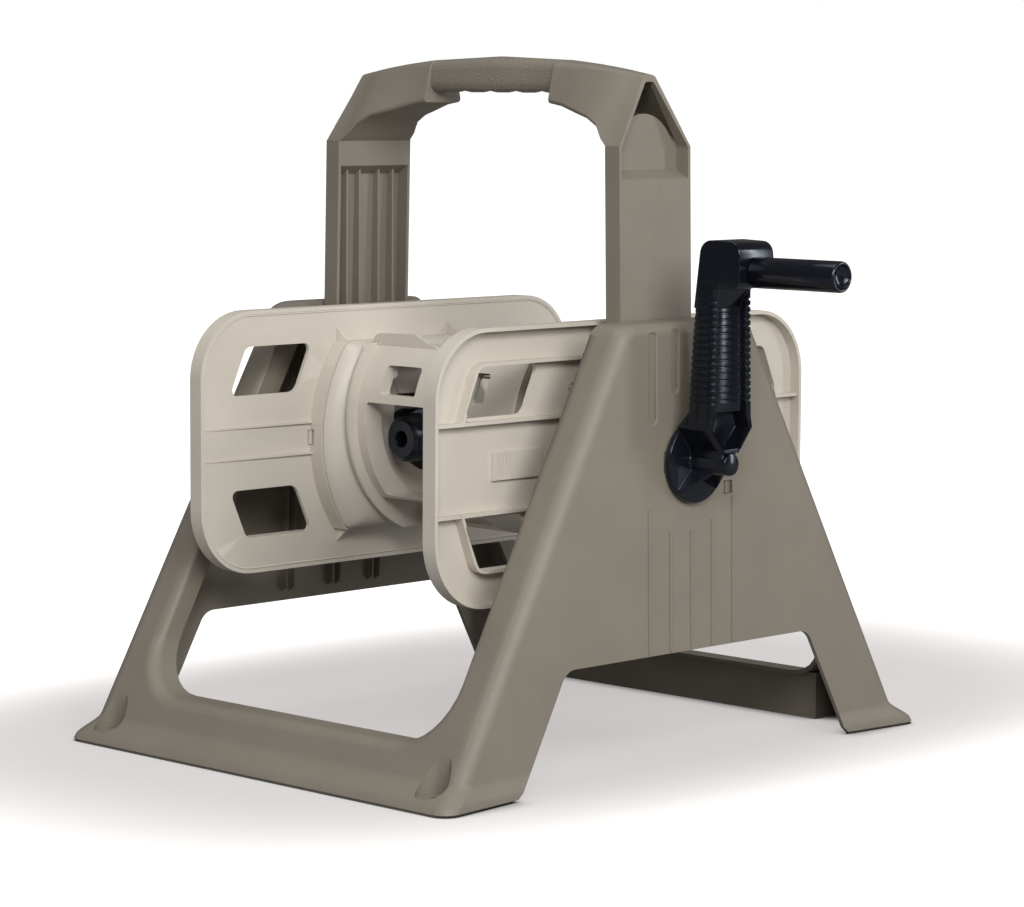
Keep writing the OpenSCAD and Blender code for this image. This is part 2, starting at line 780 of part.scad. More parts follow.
// A flange for the +X side, without its hub
module flange_pan() {
    difference() {
        union() {
            along_x(flange_in, plate_out) flange_outline();
            along_x(flange_in, flange_out) difference() {
                flange_outline();
                flange_outline(flange_wall);
            }
            // Raised lip round the inner face
            along_x(flange_in - lip_rise, flange_in + 1) difference() {
                flange_outline();
                flange_outline(flange_wall);
            }
            for (up = [-1, 1]) along_x(plate_out - eps, flange_out - 1) pair_wall(up);
            for (side = [-1, 1], up = [-1, 1]) {
                z = up * (window_low - 3.5);
                y = side * (flange_half_y - flange_wall + 0.5);
                y_in = side * (hub_r + 2);
                block([plate_out - eps, min(y, y_in), z - 1.3],
                      [plate_out + rib_depth, max(y, y_in), z + 1.3]);
            }
            // Raised lines of the latch channel on the inner face
            for (side = [-1, 1], z = [-12.3, 12.3]) {
                y0 = side * (flange_half_y - flange_wall);
                y1 = side * (collar_half - 5);
                translate([0, 0, z - 0.9]) linear_extrude(1.8)
                    polygon([[flange_in + eps, y0], [flange_in - ridge_low, y0],
                             [flange_in - ridge_high, y1], [flange_in + eps, y1]]);
            }
            // Collar that takes the drum shells' ends
            along_x(flange_in - collar_depth, flange_in + eps) difference() {
                polygon(collar_points(0));
                polygon(collar_points(flange_wall));
            }
            along_x(flange_in - collar_depth, flange_in - collar_depth + 2.5) difference() {
                polygon(collar_points(1));
                polygon(collar_points(24));
            }
            // Corner fins between the collar's flats and the plate
            for (side = [-1, 1], up = [-1, 1])
                translate([0, side * fin_y, 0]) along_y(-1, 1)
                    polygon([for (p = [[eps, -6], [-13, -6], [-13, 0], [eps, 11]])
                                [flange_in + p[0], up * (collar_rise + p[1])]]);
        }
        for (side = [-1, 1], up = [-1, 1]) along_x(flange_in - 5, flange_out + 5) window(side, up);
        for (p = shell_screws())
            rod_x(flange_in - collar_depth - 1, flange_out + 5, screw_r + screw_gap, p[0], p[1]);
        // Slots for the latches' hooked ends
        for (side = [-1, 1])
            block([flange_in - 5, side * hook_slot_y - hook_slot_half, -6],
                  [plate_out + 5, side * hook_slot_y + hook_slot_half, 6]);
    }
}

// Places of a drum shell's two screws on each side, from the reel's axis
function shell_bosses() =
    [for (a = shell_screw_angles) [drum_shift_y, drum_shift_z] + shell_screw_r * [cos(a), sin(a)]];

// Places of the four screws that join a flange to both drum shells
function shell_screws() = [for (s = [1, -1], p = shell_bosses()) s * p];

// Ribs and a ring that stiffen the plate round the hub
module hub_ribs() {
    for (a = [0:45:315])
        rotate([a, 0, 0])
            block([plate_out - eps, -1.25, hub_r - 1], [plate_out + rib_depth, 1.25, hub_ring_r - 1]);
    difference() {
        rod_x(plate_out - eps, plate_out + rib_depth, hub_ring_r);
        rod_x(plate_out - 1, plate_out + rib_depth + 1, hub_ring_r - 2.5);
    }
}

module crank_side_flange() {
    color(tan_plastic) at_axis() difference() {
        union() {
            flange_pan();
            hub_ribs();
            rod_x(hub_in, hub_end, hub_r);
        }
        block([key_start, -key_half - bore_gap, -key_half - bore_gap],
              [key_end, key_half + bore_gap, key_half + bore_gap]);
        rod_x(key_end - eps, hub_end + 5, journal_r + seat_gap);
        rod_x(hub_in - 5, key_start + 5, screw_r + screw_gap);
    }
}

module inlet_side_flange() {
    color(tan_plastic) at_axis() mirror([1, 0, 0]) difference() {
        union() {
            flange_pan();
            hub_ribs();
            rod_x(lock_x1 + washer_thick + pilot, hub_end, hub_r);
            rod_x(hub_end - 5, sleeve_out - 0.2, journal_r);
        }
        rod_x(collar_x, outlet_end + 0.5, outlet_r + bore_gap);
        rod_x(lock_x1 - 5, collar_x + 1, thread_r + bore_gap);
        rod_x(outlet_end, sleeve_out + 5, tube_r + seat_gap);
    }
}

// Distance from the axis, front to back, of the seam between the two shells at the height h
function seam_y(h) = 2 * sqrt(drum_shift_z * h) - drum_shift_y - seam_flat;

// Half of the drum's outline: the front curve, then the flat at the bottom, drawn in by inset
function shell_path(r, rise, inset) =
    let (c = [drum_shift_y, drum_shift_z], q = r - inset, h = rise - inset,
         top = 180 - asin(min(1, (h - drum_shift_z) / q)),
         low = 180 + asin(min(1, (h + drum_shift_z) / q)))
    concat([[-seam_y(h), h]], arc(c, q, top, low, 32), [[seam_y(h) - shell_seam, -h]]);

module shell_section(r, rise, depth) {
    outer = shell_path(r, rise, 0);
    inner = shell_path(r, rise, depth);
    polygon(concat(outer, [for (i = [len(inner) - 1:-1:0]) inner[i]]));
}

module drum_shell() {
    difference() {
        union() {
            along_x(-band_in, band_in) shell_section(drum_r, drum_rise, drum_wall);
            for (side = [-1, 1]) {
                x0 = side > 0 ? band_in - drum_wall : -shell_end;
                x1 = side > 0 ? shell_end : -band_in + drum_wall;
                along_x(x0, x1) shell_section(drum_r + band_rise, collar_rise, drum_wall);
                xa = side > 0 ? band_in - drum_wall : -band_in;
                along_x(xa, xa + drum_wall)
                    shell_section(drum_r + band_rise, collar_rise, band_rise + drum_wall);
            }
            // Bulkheads that frame the hose opening and stiffen the shell
            for (x = [opening_x0 - bulkhead, opening_x1, 52])
                along_x(x, x + bulkhead) shell_section(drum_r, drum_rise, 18);
            along_x(lip_x, lip_x + bulkhead) shell_section(drum_r, drum_rise, lip_depth);
            // Shelf under the hose opening and the walls of the small windows
            intersection() {
                along_x(lip_x, opening_x1 + bulkhead) shell_section(drum_r, drum_rise, 20);
                block([lip_x, -through, opening_z[0] - shelf], [opening_x1 + bulkhead, 0, opening_z[0]]);
            }
            for (x = slits_x) intersection() {
                along_x(x[0] - bulkhead, x[1] + bulkhead) shell_section(drum_r, drum_rise, slit_depth);
                shell_hole([x[0] - bulkhead, x[1] + bulkhead], [slit_z[0] - bulkhead, slit_z[1] + bulkhead]);
            }
            for (p = shell_bosses()) {
                rod_x(-shell_end, -shell_boss_end, shell_boss_r, p[0], p[1]);
                rod_x(shell_boss_end, shell_end, shell_boss_r, p[0], p[1]);
            }
        }
        for (p = shell_bosses(), side = [0, 1]) mirror([side, 0, 0])
            rod_x(flange_in - 38, shell_end + 5, screw_r - pilot, p[0], p[1]);
        // Large opening for the hose and its coupling, and the open underside below its shelf
        shell_hole([opening_x0, opening_x1], opening_z);
        shell_hole([lip_x + bulkhead, opening_x1], [-drum_rise - 10, opening_z[0] - shelf]);
        // Small windows above it
        for (x = slits_x) shell_hole(x, slit_z);
    }
}

// A rounded hole through the front of a shell
module shell_hole(x, z) {
    along_y(-150, 0)
        polygon(rounded([[x[0], z[0]], [x[1], z[0]], [x[1], z[1]], [x[0], z[1]]], [3, 3, 3, 3]));
}

module front_drum_shell() {
    color(tan_plastic) at_axis() drum_shell();
}

module rear_drum_shell() {
    color(tan_plastic) at_axis() rotate([180, 0, 0]) drum_shell();
}

module flange_screws() {
    color(steel) at_axis() on_both_sides() for (p = shell_screws()) {
        rod_x(plate_out + eps, plate_out + 2.8, 4, p[0], p[1]);
        rod_x(flange_in - 37, plate_out + 1, screw_r - bite, p[0], p[1]);
    }
}

// Slide latches in the flanges' outer faces, with ribs for the thumb
module flange_latches() {
    color(tan_plastic) at_axis() on_both_sides() front_and_rear() {
        difference() {
            block([plate_out + eps, -latch_y1, -latch_half], [plate_out + 2.6, -latch_y0, latch_half]);
            for (i = [0:4])
                block([plate_out + 1.9, -latch_y1 + 4 + i * 3, -latch_half + 1.5],
                      [plate_out + 4, -latch_y1 + 5.2 + i * 3, latch_half - 1.5]);
        }
        block([flange_in - 1.4, -hook_slot_y - hook_slot_half + 0.6, -5.5],
              [plate_out + 1, -hook_slot_y + hook_slot_half - 0.6, 5.5]);
    }
}

// Water way

module inlet_tube() {
    groove_r = seal_centre_r - seal_r - 0.05;
    end = spigot_out + spigot_length;
    color(black_plastic) at_axis() mirror([1, 0, 0]) difference() {
        union() {
            rod_x(tube_end, end - thread_length, tube_r);
            rod_x(spigot_in, spigot_out, spigot_plate_r);
            rod_x(end - thread_length, end, thread_r);
            translate([end - thread_length - hex_length, 0, 0]) rotate([0, 90, 0])
                cylinder(h = hex_length, r = 17, $fn = 6);
        }
        rod_x(tube_end - 5, end + 5, water_r);
        for (x = seal_places()) difference() {
            rod_x(x - 1.6, x + 1.6, tube_r + 5);
            rod_x(x - 3, x + 3, groove_r);
        }
        for (p = inlet_screw_places) rod_x(spigot_in - 1, spigot_out + 1, screw_r + screw_gap, p[0], p[1]);
    }
}

function seal_places() = [tube_end + 8, tube_end + 16];

module tube_seals() {
    color(rubber) at_axis() mirror([1, 0, 0]) for (x = seal_places())
        translate([x, 0, 0]) rotate([0, 90, 0]) rotate_extrude($fn = 64)
            translate([seal_centre_r, 0]) circle(r = seal_r, $fn = 24);
}

module inlet_screws() {
    color(steel) at_axis() mirror([1, 0, 0]) for (p = inlet_screw_places) {
        rod_x(spigot_out + eps, spigot_out + 2.4, 3, p[0], p[1]);
        rod_x(plate_in + 0.2, spigot_out + 1, screw_r - bite, p[0], p[1]);
    }
}

module outlet_tube() {
    color(black_plastic) at_axis() difference() {
        union() {
            rod_x(-outlet_end, -collar_x - seat_gap, outlet_r);
            rod_x(-collar_x - 1, -lock_x0 + 2, thread_r);
            rod_x(-lock_x0 + 1, -elbow_x, tube_r);
            translate([-elbow_x, 0, 0]) sphere(r = tube_r, $fn = 64);
            translate([-elbow_x, 0, 0]) rotate([90, 0, 0])
                cylinder(h = outlet_reach - thread_length, r = tube_r, $fn = 64);
            translate([-elbow_x, -outlet_reach + thread_length + 4, 0]) rotate([90, 0, 0])
                cylinder(h = 4, r = 16, $fn = 6);
            translate([-elbow_x, -outlet_reach + thread_length, 0]) rotate([90, 0, 0])
                cylinder(h = thread_length, r = thread_r, $fn = 64);
        }
        rod_x(-outlet_end - 5, -tube_end + 1, socket_r);
        rod_x(-tube_end, -elbow_x, water_r);
        translate([-elbow_x, 0, 0]) sphere(r = water_r, $fn = 48);
        translate([-elbow_x, 0, 0]) rotate([90, 0, 0]) cylinder(h = outlet_reach + 5, r = water_r, $fn = 64);
    }
}

module tube_lock_nut() {
    flutes = 24;
    color(black_plastic) at_axis() difference() {
        union() {
            rod_x(-lock_x1, -lock_x0 - 7, lock_nut_r);
            rod_x(-lock_x1, -lock_x0, lock_nut_r - 2.2);
        }
        rod_x(-lock_x1 - 5, -lock_x0 + 5, thread_r + 0.1);
        for (i = [0:flutes - 1]) rotate([i * 360 / flutes, 0, 0])
            rod_x(-lock_x1 + 5, -lock_x0 - 9, 0.9, lock_nut_r + 0.1, 0);
    }
}

module lock_washer() {
    color(rubber) at_axis() difference() {
        rod_x(-lock_x1 - washer_thick, -lock_x1 - 0.1, lock_nut_r - 0.5);
        rod_x(-lock_x1 - 5, -lock_x1 + 5, thread_r + 0.1);
    }
}

// Crank

// Outline of the crank's arm and the block under its grip, seen along Y
module arm_outline() {
    polygon(rounded([[arm_in - 2, 24], [arm_out, 8], [arm_out, block_low], [block_out, block_low],
                     [block_out - 1, arm_top - 2], [arm_in + 6, arm_top], [arm_in + 3, block_low - 4]],
                    [1, 2, 1, 4, 8, 8, 20], 5));
}

// The arm's outline seen along X: it widens downwards, then narrows to the boss
module arm_width() {
    half = crank_arm_width / 2;
    polygon(rounded([[-boss_r, -4], [boss_r, -4], [boss_r, 8], [half, 27], [half - 2.5, block_low],
                     [half - 5, arm_top + 1], [5 - half, arm_top + 1], [2.5 - half, block_low],
                     [-half, 27], [-boss_r, 8]], [1, 1, 2, 3, 8, 4, 4, 8, 3, 2], 5));
}

module crank_arm() {
    shaft_in = key_end + 1;
    web_x = disc_out - 1;
    color(black_plastic) at_axis() difference() {
        union() {
            rod_x(disc_in, disc_out, disc_r);
            rod_x(shaft_in, disc_in + 1, journal_r);
            block([key_start + seat_gap, -key_half, -key_half], [shaft_in + 1, key_half, key_half]);
            rod_x(web_x, arm_out, boss_r);
            intersection() {
                along_x(web_x, block_out + 1) arm_width();
                along_y(-through, through) {
                    arm_outline();
                    polygon([[web_x, 4], [arm_out - 0.5, 4], [arm_out - 0.5, 26], [arm_in - 1, 38], [web_x, 26]]);
                }
            }
            // Two webs that carry the boss on the disc
            for (a = [135, 225]) rotate([a, 0, 0]) along_y(-web_half, web_half)
                polygon([[web_x, 0], [arm_out - 9, 0], [arm_out - 9, boss_r - 1], [disc_out + 4, disc_r - 3],
                         [web_x, disc_r - 2]]);
        }
        // Trough in the outer face
        block([arm_out - trough_depth, -trough_half, trough_low], [arm_out + 5, trough_half, trough_top]);
        rod_x(pin_start - seat_gap, block_out + 5, pin_r + pilot, 0, crank_throw);
        rod_x(key_start - 5, screw_end + 4, screw_r - pilot);
    }
    // Grip ribs across the trough
    color(black_plastic) at_axis() for (i = [0:trough_ribs - 1]) {
        z = trough_top - (i + 0.7) * trough_pitch;
        block([arm_out - trough_depth - eps, -trough_half - eps, z - 0.9],
              [arm_out - trough_depth + 4, trough_half + eps, z + 0.9]);
    }
}

module crank_screw() {
    color(steel) at_axis() {
        rod_x(hub_in - 4.4, hub_in - 1.4, 4.5);
        rod_x(hub_in - 2, screw_end, screw_r - bite);
    }
}

module crank_washer() {
    color(steel) at_axis() difference() {
        rod_x(hub_in - 1.3, hub_in - 0.1, 7);
        rod_x(hub_in - 5, hub_in + 5, screw_r + screw_gap);
    }
}

module grip_pin() {
    color(steel) at_axis() {
        rod_x(pin_start, cap_in + 0.5, pin_r, 0, crank_throw);
        rod_x(cap_in, cap_in + 2.6, 6.5, 0, crank_throw);
    }
}

module crank_grip() {
    color(black_plastic) at_axis() translate([grip_start, 0, crank_throw]) rotate([0, 90, 0]) difference() {
        rotate_extrude($fn = 96)
            polygon([[0, 0], [crank_grip_r - 1, 0], [crank_grip_r, 1], [crank_grip_r, crank_grip_length - 2],
                     [crank_grip_r - 0.6, crank_grip_length - 0.6], [crank_grip_r - 2, crank_grip_length],
                     [0, crank_grip_length]]);
        translate([0, 0, -1]) cylinder(h = crank_grip_length + 2, r = pin_r + running_gap, $fn = 64);
        translate([0, 0, crank_grip_length - grip_recess]) cylinder(h = grip_recess + 1, r = 8, $fn = 64);
    }
}

base_frame();
carry_handle();
handle_screws();
crank_side_bushing();
inlet_side_bushing();
inlet_tube();
inlet_screws();
tube_seals();
crank_side_flange();
inlet_side_flange();
front_drum_shell();
rear_drum_shell();
flange_screws();
flange_latches();
outlet_tube();
tube_lock_nut();
lock_washer();
crank_arm();
crank_screw();
crank_washer();
grip_pin();
crank_grip();
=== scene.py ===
import json
import math

import bmesh
import bpy
from mathutils import Matrix, Vector

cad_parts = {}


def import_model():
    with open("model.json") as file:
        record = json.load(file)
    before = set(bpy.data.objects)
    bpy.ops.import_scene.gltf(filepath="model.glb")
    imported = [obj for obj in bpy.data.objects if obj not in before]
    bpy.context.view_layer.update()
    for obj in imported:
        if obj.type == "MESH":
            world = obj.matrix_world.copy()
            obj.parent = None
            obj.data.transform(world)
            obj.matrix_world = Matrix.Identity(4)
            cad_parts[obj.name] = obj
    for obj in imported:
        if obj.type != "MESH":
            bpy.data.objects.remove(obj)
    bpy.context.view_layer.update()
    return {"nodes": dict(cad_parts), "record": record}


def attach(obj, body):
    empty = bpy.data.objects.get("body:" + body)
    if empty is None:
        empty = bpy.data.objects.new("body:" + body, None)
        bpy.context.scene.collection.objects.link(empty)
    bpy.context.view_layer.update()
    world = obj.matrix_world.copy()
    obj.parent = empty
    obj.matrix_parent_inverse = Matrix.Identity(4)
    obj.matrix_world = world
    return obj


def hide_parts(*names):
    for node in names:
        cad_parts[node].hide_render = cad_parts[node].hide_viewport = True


# A portable garden hose reel. Lengths are in metres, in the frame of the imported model: the origin is on
# the floor at the centre of the base, +X points to the crank, -Y is the front and +Z is up.
# Shapes are written in millimetres and made metres by MM.

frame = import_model()

MM = 0.001

# Camera, from the photograph's perspective
IMAGE_WIDTH = 1024
CAMERA_AZIMUTH = math.radians(44.147)
CAMERA_ELEVATION = math.radians(6.061)
CAMERA_ROLL = math.radians(0.332)
CAMERA_DISTANCE = 2.7183
CAMERA_TARGET = Vector((0.01176, 0, 0.22273))
FOCAL_PIXELS = 3456.6
SENSOR_WIDTH = 36

# Colours, linear
TAUPE = (0.222, 0.196, 0.158)
TAN = (0.613, 0.563, 0.488)
BLACK = (0.005, 0.0055, 0.009)
BLUISH = (0.72, 0.84, 1)
STEEL = (0.58, 0.58, 0.60)
RUBBER = (0.012, 0.012, 0.012)
WHITE = (1, 1, 1)
FLOOR_COLOURS = (0.21, 0.205, 0.20), (0.23, 0.225, 0.22)
# The colour of the floor's glow, which also tints the painted shadow round the reel
FLOOR_GLOW = (1, 0.965, 0.955)

# Floor and surroundings
FLOOR_HALF = 30
FLOOR_BOUNCE = 0.25
# Painted shadow on the floor round the reel: its middle and reach, where it fades out, and the glow inside it
# and in the open
SHADE_MIDDLE = (-0.055, 0.085)
SHADE_REACH = (0.335, 0.54)
SHADE_START, SHADE_END = 0.3, 2.1
SHADE_GLOW, OPEN_GLOW = 0.5, 1.15
# Reach of the painted contact shade under what stands on the floor
CONTACT_SHADE_DISTANCE = 0.03
WORLD_LIGHT = 0.32
WORLD_SHEEN = 0.10
LIGHT_AIM = Vector((0, 0, 0.2))
LIGHTS = {  # place, size and watts
    "key": ((3.0, -1.05, 1.75), (1.6, 1.6), 64),
    "front": ((2.0, -2.2, 1.7), (0.7, 0.7), 33),
    "side": ((1.85, 1.9, 0.8), (0.3, 1.4), 11),
    "top": ((-0.3, -0.3, 3.4), (2.2, 2.2), 26),
}

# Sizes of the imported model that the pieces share, in millimetres
AXIS_Z = 232
PANEL_X = 203
PANEL_TOP = 336
PANEL_LEAN = 6 / PANEL_TOP
FOOT_Y, TOP_Y = 258.5, 72
LEG_OUT = 160
GRIP_HALF = 67
GRIP_LOW = 498
FLANGE_IN = 123
FLANGE_HALF_Y, FLANGE_HALF_Z, FLANGE_CORNER = 206, 103, 52
COLLAR_TOP = 75
COLLAR_RADIUS, COLLAR_OFFSET = 121.2, 29.2
DRUM_TOP = 73
DRUM_RADIUS = 87
DRUM_CENTRE = Vector((14.4, 14))
SKIRT_IN, SKIRT_OUT = 91.2, 108.5
ELBOW_X = -61
DISC_IN, DISC_OUT = 200.36, 205.36
ARM_OUT, BLOCK_OUT = 238.86, 260.86
GRIP_AXIS = 143.3


# Materials

def node_adder(tree):
    """Clears a node tree and gives a function that adds nodes to it."""
    tree.nodes.clear()

    def add(kind, links=None, **values):
        node = tree.nodes.new("ShaderNode" + kind)
        for key, value in values.items():
            if key in node.inputs:
                node.inputs[key].default_value = value
            else:
                setattr(node, key, value)
        for key, source in (links or {}).items():
            tree.links.new(source, node.inputs[key])
        return node

    return add


def new_material(name):
    """A material with a node adder for its tree, and its Object coordinates."""
    material = bpy.data.materials.new(name)
    material.use_nodes = True
    add = node_adder(material.node_tree)
    return material, add, add("TexCoord").outputs["Object"]


def opaque(colour):
    return (*colour, 1)


def shaded(colour, factor):
    return tuple(channel * factor for channel in colour)


def mixed(add, factor, first, second):
    """A colour between two colours, by a factor from a node."""
    node = add("Mix", {0: factor}, data_type="RGBA")
    node.inputs[6].default_value = opaque(first)
    node.inputs[7].default_value = opaque(second)
    return node.outputs[2]


def noise(add, coordinates, size, detail=2.0, roughness=0.5):
    """Noise whose features are about size across."""
    return add("TexNoise", {"Vector": coordinates}, Scale=1 / size, Detail=detail,
               Roughness=roughness).outputs["Fac"]


def ranged(add, value, start, end, low, high, **options):
    """A value whose range from start to end becomes the range from low to high."""
    return add("MapRange", {"Value": value}, **{"From Min": start, "From Max": end, "To Min": low,
                                                "To Max": high}, **options).outputs["Result"]


def spread(add, value, low, high):
    """A noise value stretched to the range from low to high."""
    return ranged(add, value, 0.3, 0.7, low, high)


def calculated(add, operation, first, second, **options):
    """The result of a Math node on an output and a second output or number."""
    linked = isinstance(second, bpy.types.NodeSocket)
    node = add("Math", {0: first, 1: second} if linked else {0: first}, operation=operation, **options)
    if not linked:
        node.inputs[1].default_value = second
    return node.outputs[0]


def seen_directly(add):
    """1 for rays from the camera, straight or through something clear, and 0 for all others."""
    rays = add("LightPath")
    return calculated(add, "ADD", rays.outputs["Is Camera Ray"], rays.outputs["Is Transmission Ray"],
                      use_clamp=True)


def finish_material(add, colour, roughness, normal, **values):
    shader = add("BsdfPrincipled", {"Base Color": colour, "Roughness": roughness, "Normal": normal}, **values)
    add("OutputMaterial", {"Surface": shader.outputs["BSDF"]})


def moulded_plastic(name, colour, roughness, grain=1.1 * MM, depth=0.06 * MM, mottle=0.05, specular=0.4,
                    edge=0, sheen=WHITE, relief=None):
    """Injection-moulded plastic: a faint mottle, a fine moulded grain and uneven gloss.

    edge is the radius that catches the light along sharp edges. relief adds a coarser pattern to the grain.
    """
    material, add, here = new_material(name)
    tone = spread(add, noise(add, here, 60 * MM, 3), 0, 1)
    base = mixed(add, tone, shaded(colour, 1 - mottle), shaded(colour, 1 + mottle))
    gloss = spread(add, noise(add, here, 9 * MM, 3), roughness - 0.04, roughness + 0.05)
    heights = {"Height": noise(add, here, grain, 3, 0.6)}
    if edge:
        heights["Normal"] = add("Bevel", samples=6, Radius=edge).outputs["Normal"]
    normal = add("Bump", heights, Strength=1.0, Distance=depth).outputs["Normal"]
    if relief:
        normal = relief(add, here, normal)
    finish_material(add, base, gloss, normal,
                    **{"Specular IOR Level": specular, "Specular Tint": opaque(sheen)})
    return material


def leather_grain(add, here, normal):
    """A leather grain that is pressed into the hand grip only."""
    place = add("SeparateXYZ", {"Vector": here})
    reach = add("Math", {0: place.outputs["X"]}, operation="ABSOLUTE").outputs[0]
    inside = calculated(add, "LESS_THAN", reach, GRIP_HALF * MM)
    above = calculated(add, "GREATER_THAN", place.outputs["Z"], GRIP_LOW * MM)
    on_grip = calculated(add, "MULTIPLY", inside, above)
    cells = add("TexVoronoi", {"Vector": here}, feature="SMOOTH_F1", Scale=1 / (1.7 * MM))
    leather = calculated(add, "MULTIPLY", cells.outputs["Distance"], on_grip)
    return add("Bump", {"Height": leather, "Normal": normal}, Strength=0.9,
               Distance=0.4 * MM).outputs["Normal"]


def zinc_steel(name, colour):
    material, add, here = new_material(name)
    tone = spread(add, noise(add, here, 3 * MM, 4), 0, 1)
    base = mixed(add, tone, shaded(colour, 0.85), shaded(colour, 1.1))
    gloss = spread(add, noise(add, here, 1.5 * MM, 3), 0.25, 0.42)
    bump = add("Bump", {"Height": noise(add, here, 0.4 * MM, 2)}, Strength=0.6, Distance=0.01 * MM)
    finish_material(add, base, gloss, bump.outputs["Normal"], Metallic=1.0)
    return material


def floor_surface(name):
    """Pale floor that looks white where it is open, has painted shade round the reel and where things stand
    on it, and throws little light up.
    """
    material, add, here = new_material(name)
    tone = spread(add, noise(add, here, 0.4, 2), 0, 1)
    pale = add("BsdfDiffuse", {"Color": mixed(add, tone, *FLOOR_COLOURS)})

    # Painted shadow round the reel: the floor's glow is weaker in a soft box round it
    place = add("SeparateXYZ", {"Vector": here})
    far = []
    for way, middle, reach in zip("XY", SHADE_MIDDLE, SHADE_REACH):
        offset = calculated(add, "SUBTRACT", place.outputs[way], middle)
        share = calculated(add, "DIVIDE", offset, reach)
        size = add("Math", {0: share}, operation="ABSOLUTE").outputs[0]
        far.append(calculated(add, "POWER", size, 3))
    away = calculated(add, "ADD", *far)
    painted_shade_glow = ranged(add, away, SHADE_START, SHADE_END, SHADE_GLOW, OPEN_GLOW, interpolation_type="SMOOTHSTEP")
    glow = add("Emission", {"Strength": painted_shade_glow}, Color=opaque(FLOOR_GLOW))
    lit = add("AddShader", {0: pale.outputs[0], 1: glow.outputs[0]})

    # Painted contact shade: by ambient occlusion the floor turns dark where something stands on it
    near = add("AmbientOcclusion", samples=8, Distance=CONTACT_SHADE_DISTANCE)
    painted_contact_shade = ranged(add, near.outputs["AO"], 0.3, 0.8, 0, 1)
    dark = add("BsdfDiffuse", Color=opaque((0.02, 0.02, 0.02)))
    lit_with_painted_contact_shade = add("MixShader", {0: painted_contact_shade, 1: dark.outputs[0], 2: lit.outputs[0]})

    grey = add("BsdfDiffuse", Color=opaque(shaded(WHITE, FLOOR_BOUNCE)))
    both = add("MixShader", {0: seen_directly(add), 1: grey.outputs[0], 2: lit_with_painted_contact_shade.outputs[0]})
    add("OutputMaterial", {"Surface": both.outputs[0]})
    return material


FINISHES = {
    "taupe_plastic": moulded_plastic("taupe_plastic", TAUPE, 0.50),
    "tan_plastic": moulded_plastic("tan_plastic", TAN, 0.42, grain=0.7 * MM, depth=0.02 * MM, mottle=0.035),
    "black_plastic": moulded_plastic("black_plastic", BLACK, 0.18, grain=0.6 * MM, depth=0.008 * MM,
                                     mottle=0.15, specular=0.6, edge=0.9 * MM, sheen=BLUISH),
    "steel": zinc_steel("zinc_steel", STEEL),
    "rubber": moulded_plastic("seal_rubber", RUBBER, 0.7, grain=0.5 * MM),
}
HANDLE_FINISH = moulded_plastic("taupe_grip_plastic", TAUPE, 0.50, relief=leather_grain)
slot_of = {entry["node"]: entry["material_slot"] for entry in frame["record"]["subparts"]}
body_of = {node: body for body, nodes in frame["record"]["behaviour"]["bodies"].items() for node in nodes}


def finish_of(node):
    """The material of a node: its slot's, but grained on the handle and the base's on the bushings."""
    if node == "carry_handle":
        return HANDLE_FINISH
    return FINISHES["taupe_plastic" if node.endswith("bushing") else slot_of[node]]


# Making pieces

def circle(steps):
    """Angles round a circle."""
    return [math.tau * step / steps for step in range(steps)]


def merged(node):
    """A bmesh of a CAD node, with its loose triangles joined into flat faces."""
    bm = bmesh.new()
    bm.from_mesh(frame["nodes"][node].data)
    bmesh.ops.remove_doubles(bm, verts=bm.verts, dist=2e-6)
    bmesh.ops.dissolve_limit(bm, angle_limit=math.radians(0.6), verts=bm.verts, edges=bm.edges)
    return bm


def piece(name, bm, like, *nodes, smooth=32):
    """An object made from a bmesh, with the body and finish of the node like, standing for nodes."""
    body, slot = body_of[like], slot_of[like]
    mesh = bpy.data.meshes.new(name)
    bm.to_mesh(mesh)
    bm.free()
    mesh.materials.append(finish_of(like))
    mesh.shade_smooth()
    mesh.set_sharp_from_angle(angle=math.radians(smooth))
    made = bpy.data.objects.new(name, mesh)
    bpy.context.scene.collection.objects.link(made)
    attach(made, body)
    if nodes:
        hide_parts(*nodes)
    return made


def rounded_edges(made, width):
    """Rounds a piece's sharp edges by a width in millimetres, and keeps its flat faces flat."""
    bevel = made.modifiers.new("rounded_edges", "BEVEL")
    bevel.width = width * MM
    bevel.segments = 2
    bevel.limit_method = "ANGLE"
    bevel.angle_limit = math.radians(35)
    bevel.harden_normals = False
    flat = made.modifiers.new("flat_faces", "WEIGHTED_NORMAL")
    flat.mode = "FACE_AREA"
    flat.weight = 50
    flat.keep_sharp = True


def rounded_outline(points, radii, steps=5):
    """The points of a flat outline, each corner rounded by its own radius."""
    made = []
    count = len(points)
    for index, (corner, radius) in enumerate(zip(points, radii)):
        corner = Vector(corner)
        one = (Vector(points[index - 1]) - corner).normalized()
        two = (Vector(points[(index + 1) % count]) - corner).normalized()
        half = one.angle(two) / 2
        centre = corner + (one + two).normalized() * radius / math.sin(half)
        start = corner + one * radius / math.tan(half) - centre
        sweep = start.angle_signed(corner + two * radius / math.tan(half) - centre)
        for step in range(steps + 1):
            turn = Matrix.Rotation(-sweep * step / steps, 2)
            made.append(tuple(centre + turn @ start))
    return made


def rectangle(low, high):
    return [(low[0], low[1]), (high[0], low[1]), (high[0], high[1]), (low[0], high[1])]


def prism(bm, outline, axis, start, end):
    """A closed prism of a flat outline: Y and Z along X, or X and Z along Y."""
    place = (lambda p, at: (at, p[0], p[1])) if axis == "x" else (lambda p, at: (p[0], at, p[1]))
    base = bm.faces.new([bm.verts.new(Vector(place(point, start)) * MM) for point in outline])
    raised = bmesh.ops.extrude_face_region(bm, geom=[base])["geom"]
    corners = [part for part in raised if isinstance(part, bmesh.types.BMVert)]
    bmesh.ops.translate(bm, verts=corners, vec=Vector(place((0, 0), end - start)) * MM)
    return list({*base.verts, *corners})


